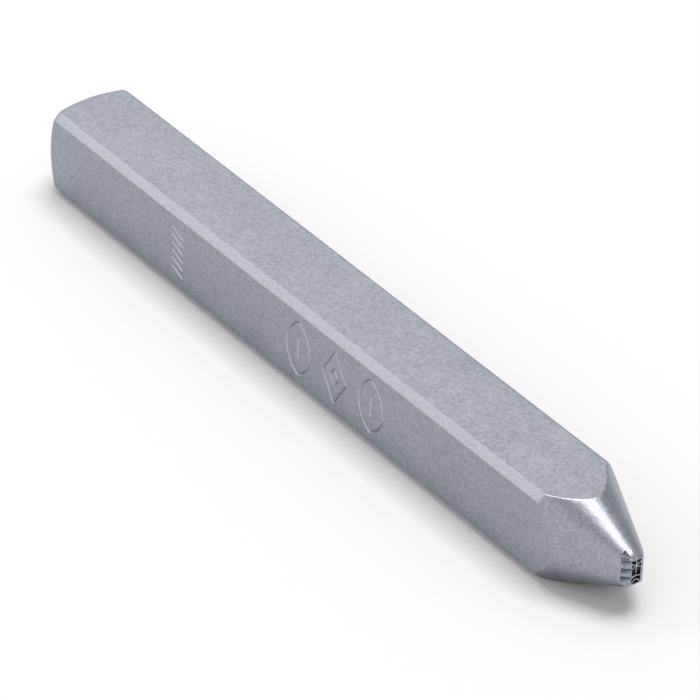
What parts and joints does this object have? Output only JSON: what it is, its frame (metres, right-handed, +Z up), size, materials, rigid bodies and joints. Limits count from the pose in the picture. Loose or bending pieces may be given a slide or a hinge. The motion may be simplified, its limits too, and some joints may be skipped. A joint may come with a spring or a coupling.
{
  "type": "steel hand stamp",
  "caption": "Square steel hand stamp for leather, with a crowned striking head, a turned conical nose and a small patterned working face.",
  "frame": {"origin": "middle of the tool's box, on the surface that its bottom flat lies on", "axes": "+X along the bar from the striking head to the working face, +Z up, the engraved flat faces -Y"},
  "size_m": [0.0604, 0.0064, 0.0063],
  "materials": {
    "tool_steel": "fine bead-blasted satin with a turned nose"
  },
  "bodies": {
    "root": {"stamp_body": "tool_steel"}
  },
  "joints": []
}
